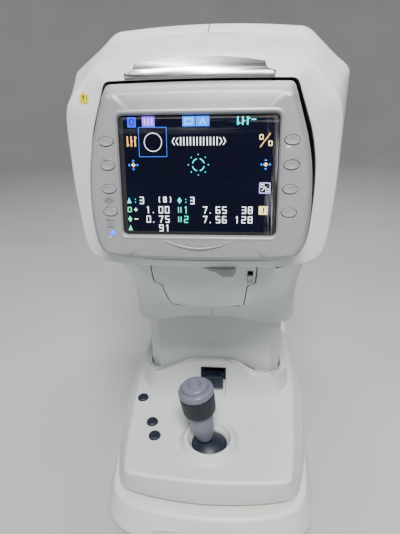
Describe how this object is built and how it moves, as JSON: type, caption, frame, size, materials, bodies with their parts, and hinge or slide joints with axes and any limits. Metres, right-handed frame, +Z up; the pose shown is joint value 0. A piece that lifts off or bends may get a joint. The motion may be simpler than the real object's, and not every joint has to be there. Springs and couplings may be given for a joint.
{
  "type": "auto refractor tonometer",
  "caption": "Table-top eye measuring instrument: screen head on a lifting column, joystick stage on a wide base, with chin rest and forehead rest.",
  "frame": {"origin": "bottom centre of the bounding box, on the table plane", "axes": "+X to the right for the operator who faces the screen, +Y towards the patient, +Z up"},
  "size_m": [0.25, 0.4945, 0.515],
  "materials": {
    "white_plastic": "fine satin moulded plastic",
    "silver_plastic": "satin silver paint",
    "plate_metal": "brushed",
    "navy_plastic": "satin",
    "grey_plastic": "satin",
    "black_plastic": "matte",
    "soft_grey": "soft silicone",
    "rubber": "matte",
    "steel": "machined",
    "aluminium": "machined",
    "chrome": "polished",
    "brass": "satin",
    "glass": "coated",
    "lamp_lens": "clear blue lens",
    "board": "solder mask",
    "paper": "thermal paper"
  },
  "bodies": {
    "base": {"base_housing": "white_plastic", "base_plate": "steel", "rubber_feet": "rubber", "rail_pair": "steel", "power_supply": "aluminium", "inlet_socket": "black_plastic", "chin_tower": "white_plastic", "face_frame": "white_plastic", "forehead_pad": "soft_grey"},
    "switch": {"power_switch": "black_plastic"},
    "chin_rest": {"chin_slider": "aluminium", "chin_cup": "white_plastic"},
    "carriage": {"cross_shaft": "steel"},
    "rollers": {"drive_rollers": "steel"},
    "stage": {"stage_chassis": "steel", "stage_cover": "white_plastic", "column_cover": "white_plastic", "column_frame": "aluminium", "lift_motor": "black_plastic", "lift_screw": "steel", "lever_liner": "navy_plastic"},
    "lever": {"lock_lever": "navy_plastic"},
    "button_front": {"deck_button_front": "navy_plastic"},
    "button_middle": {"deck_button_middle": "navy_plastic"},
    "button_rear": {"deck_button_rear": "navy_plastic"},
    "gimbal": {"gimbal_ring": "steel"},
    "stick": {"joystick_shaft": "brass", "joystick_stem": "grey_plastic", "joystick_dome": "navy_plastic", "joystick_cap": "grey_plastic"},
    "ring": {"height_ring": "black_plastic"},
    "start": {"start_button": "grey_plastic"},
    "head": {"head_front_cover": "white_plastic", "side_cover_left": "white_plastic", "side_cover_right": "white_plastic", "printer_pod": "white_plastic", "bezel": "silver_plastic", "lcd_module": "black_plastic", "status_lamp": "lamp_lens", "name_plate": "plate_metal", "optical_bench": "aluminium", "measuring_unit": "aluminium", "nozzle": "chrome", "window_glass": "glass", "main_board": "board", "printer_mech": "black_plastic", "rear_panel": "black_plastic"},
    "door": {"printer_door": "white_plastic"},
    "latch": {"door_latch": "white_plastic"},
    "paper": {"paper_roll": "paper"},
    "key_left_1": {"key_left_1": "silver_plastic"},
    "key_left_2": {"key_left_2": "silver_plastic"},
    "key_left_3": {"key_left_3": "silver_plastic"},
    "key_left_4": {"key_left_4": "silver_plastic"},
    "key_right_1": {"key_right_1": "silver_plastic"},
    "key_right_2": {"key_right_2": "silver_plastic"},
    "key_right_3": {"key_right_3": "silver_plastic"},
    "key_right_4": {"key_right_4": "silver_plastic"}
  },
  "joints": [
    {"name": "stage_y", "type": "slide", "parent": "base", "child": "carriage", "axis": [0, 1, 0], "range_m": [-0.02, 0.016]},
    {"name": "roller_turn", "type": "hinge", "parent": "carriage", "child": "rollers", "pos_m": [0, -0.02, 0.026], "axis": [1, 0, 0], "range_deg": [-110, 110]},
    {"name": "stage_x", "type": "slide", "parent": "carriage", "child": "stage", "axis": [1, 0, 0], "range_m": [-0.012, 0.012]},
    {"name": "head_lift", "type": "slide", "parent": "stage", "child": "head", "axis": [0, 0, 1], "range_m": [-0.032, 0]},
    {"name": "chin_lift", "type": "slide", "parent": "base", "child": "chin_rest", "axis": [0, 0, 1], "range_m": [-0.035, 0.035]},
    {"name": "switch_rock", "type": "hinge", "parent": "base", "child": "switch", "pos_m": [-0.0355, 0.2419, 0.0228], "axis": [1, 0, 0], "range_deg": [-16, 0]},
    {"name": "lever_lift", "type": "slide", "parent": "stage", "child": "lever", "axis": [0, 0, 1], "range_m": [0, 0.009]},
    {"name": "stick_side", "type": "hinge", "parent": "stage", "child": "gimbal", "pos_m": [0, -0.167, 0.058], "axis": [0, 1, 0], "range_deg": [-8, 24]},
    {"name": "stick_fore", "type": "hinge", "parent": "gimbal", "child": "stick", "pos_m": [0, -0.167, 0.058], "axis": [0.9903, 0, 0.1392], "range_deg": [-14, 14]},
    {"name": "ring_turn", "type": "hinge", "parent": "stick", "child": "ring", "pos_m": [0, -0.167, 0.058], "axis": [-0.1392, 0, 0.9903], "continuous": true},
    {"name": "start_press", "type": "slide", "parent": "stick", "child": "start", "axis": [-0.1392, 0, 0.9903], "range_m": [-0.001, 0], "stiffness_N_per_m": 900, "springref_m": 0.0006},
    {"name": "door_hinge", "type": "hinge", "parent": "head", "child": "door", "pos_m": [0, -0.164, 0.2612], "axis": [1, 0, 0], "range_deg": [0, 70]},
    {"name": "latch_slide", "type": "slide", "parent": "door", "child": "latch", "axis": [0, 0, 1], "range_m": [0, 0.003]},
    {"name": "paper_turn", "type": "hinge", "parent": "head", "child": "paper", "pos_m": [0, -0.152, 0.29], "axis": [1, 0, 0], "continuous": true},
    {"name": "button_front_press", "type": "slide", "parent": "stage", "child": "button_front", "axis": [0, 0, 1], "range_m": [-0.0012, 0], "stiffness_N_per_m": 900, "springref_m": 0.0006},
    {"name": "button_middle_press", "type": "slide", "parent": "stage", "child": "button_middle", "axis": [0, 0, 1], "range_m": [-0.0012, 0], "stiffness_N_per_m": 900, "springref_m": 0.0006},
    {"name": "button_rear_press", "type": "slide", "parent": "stage", "child": "button_rear", "axis": [0, 0, 1], "range_m": [-0.0012, 0], "stiffness_N_per_m": 900, "springref_m": 0.0006},
    {"name": "key_left_1_press", "type": "slide", "parent": "head", "child": "key_left_1", "axis": [0, -0.9903, 0.1392], "range_m": [-0.001, 0], "stiffness_N_per_m": 900, "springref_m": 0.0006},
    {"name": "key_left_2_press", "type": "slide", "parent": "head", "child": "key_left_2", "axis": [0, -0.9903, 0.1392], "range_m": [-0.001, 0], "stiffness_N_per_m": 900, "springref_m": 0.0006},
    {"name": "key_left_3_press", "type": "slide", "parent": "head", "child": "key_left_3", "axis": [0, -0.9903, 0.1392], "range_m": [-0.001, 0], "stiffness_N_per_m": 900, "springref_m": 0.0006},
    {"name": "key_left_4_press", "type": "slide", "parent": "head", "child": "key_left_4", "axis": [0, -0.9903, 0.1392], "range_m": [-0.001, 0], "stiffness_N_per_m": 900, "springref_m": 0.0006},
    {"name": "key_right_1_press", "type": "slide", "parent": "head", "child": "key_right_1", "axis": [0, -0.9903, 0.1392], "range_m": [-0.001, 0], "stiffness_N_per_m": 900, "springref_m": 0.0006},
    {"name": "key_right_2_press", "type": "slide", "parent": "head", "child": "key_right_2", "axis": [0, -0.9903, 0.1392], "range_m": [-0.001, 0], "stiffness_N_per_m": 900, "springref_m": 0.0006},
    {"name": "key_right_3_press", "type": "slide", "parent": "head", "child": "key_right_3", "axis": [0, -0.9903, 0.1392], "range_m": [-0.001, 0], "stiffness_N_per_m": 900, "springref_m": 0.0006},
    {"name": "key_right_4_press", "type": "slide", "parent": "head", "child": "key_right_4", "axis": [0, -0.9903, 0.1392], "range_m": [-0.001, 0], "stiffness_N_per_m": 900, "springref_m": 0.0006}
  ],
  "couplings": [
    {"joint": "roller_turn", "follows": "stage_y", "rad_per_m": -84.746}
  ]
}
